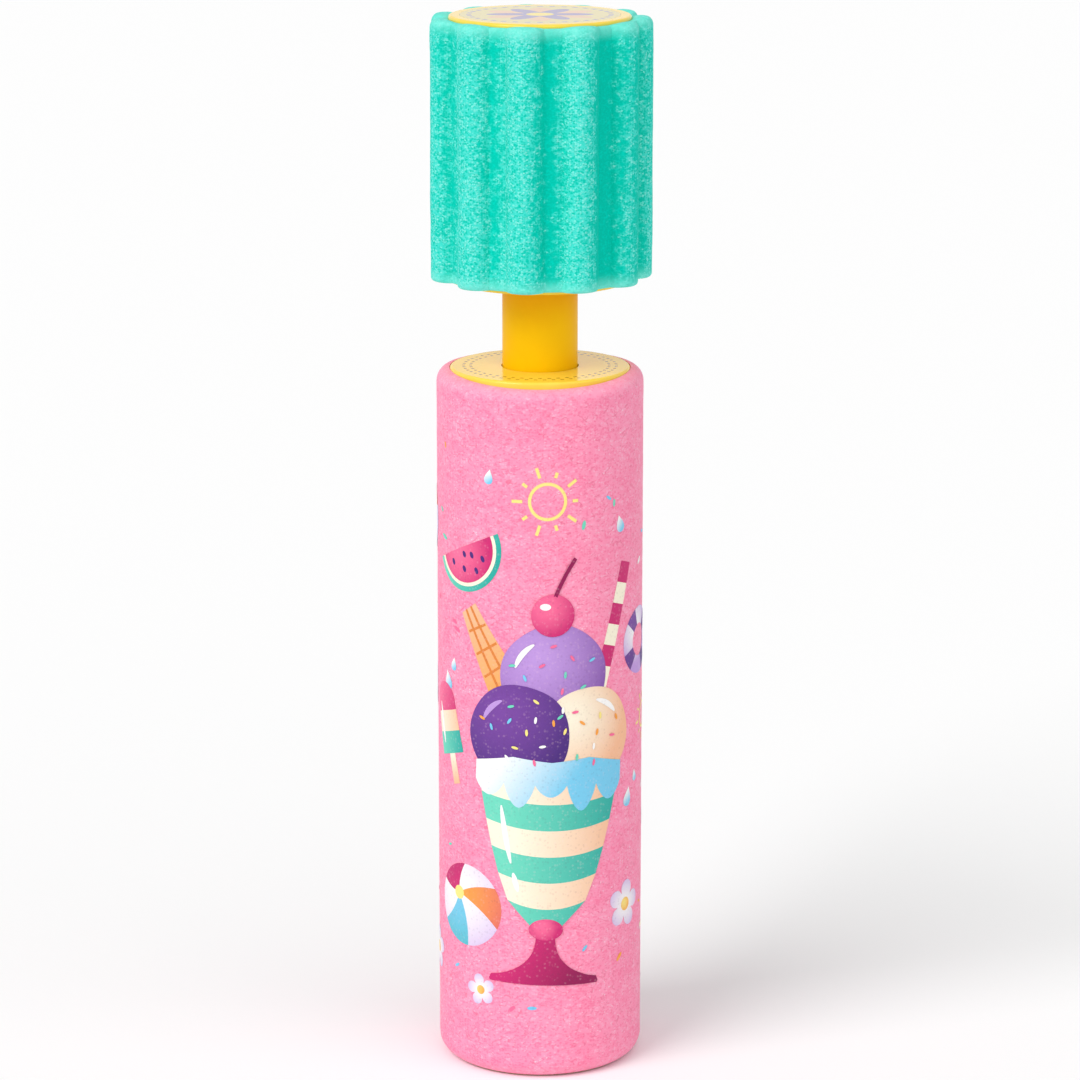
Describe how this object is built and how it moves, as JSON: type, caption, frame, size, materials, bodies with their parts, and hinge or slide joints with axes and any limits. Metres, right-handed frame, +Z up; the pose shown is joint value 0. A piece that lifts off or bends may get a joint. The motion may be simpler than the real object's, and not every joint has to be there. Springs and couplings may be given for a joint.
{
  "type": "water squirter",
  "caption": "Pump-action water squirter: foam-sleeved barrel with a nozzle cap, and a sliding rod and piston drawn by a fluted foam handle.",
  "frame": {"origin": "centre of the nozzle end's flat face, on the surface that the squirter stands on", "axes": "+Z up along the barrel towards the handle, -Y towards the printed front, +X to its right"},
  "size_m": [0.0583, 0.0587, 0.284],
  "materials": {
    "pink_foam": "matte fine-celled foam, closed skin with a soft sparkle",
    "teal_foam": "matte fine-celled foam, closed skin with a soft sparkle",
    "yellow_gloss": "glossy injection-moulded plastic",
    "yellow_rod": "smooth extruded plastic, satin",
    "milky_plastic": "plain extruded or moulded plastic",
    "teal_plastic": "glossy injection-moulded plastic",
    "seal_rubber": "black rubber, satin",
    "label_film": "printed film under clear varnish"
  },
  "bodies": {
    "barrel": {"barrel_foam": "pink_foam", "barrel_tube": "milky_plastic", "nozzle_cap": "yellow_gloss", "nozzle_cap_seal": "seal_rubber", "nozzle_insert": "teal_plastic", "rear_cap": "yellow_gloss"},
    "piston_rings": {"piston_ring_front": "seal_rubber", "piston_ring_rear": "seal_rubber"},
    "plunger": {"piston_head": "milky_plastic", "plunger_rod": "yellow_rod", "handle_bottom_cap": "yellow_gloss", "handle_tube": "milky_plastic", "handle_foam": "teal_foam", "handle_top_cap": "yellow_gloss", "handle_label": "label_film"}
  },
  "joints": [
    {"name": "plunger_slide", "type": "slide", "parent": "barrel", "child": "piston_rings", "axis": [0, 0, 1], "range_m": [-0.0227, 0.1154]},
    {"name": "plunger_twist", "type": "hinge", "parent": "piston_rings", "child": "plunger", "pos_m": [0, 0, 0.0499], "axis": [0, 0, 1], "continuous": true}
  ]
}
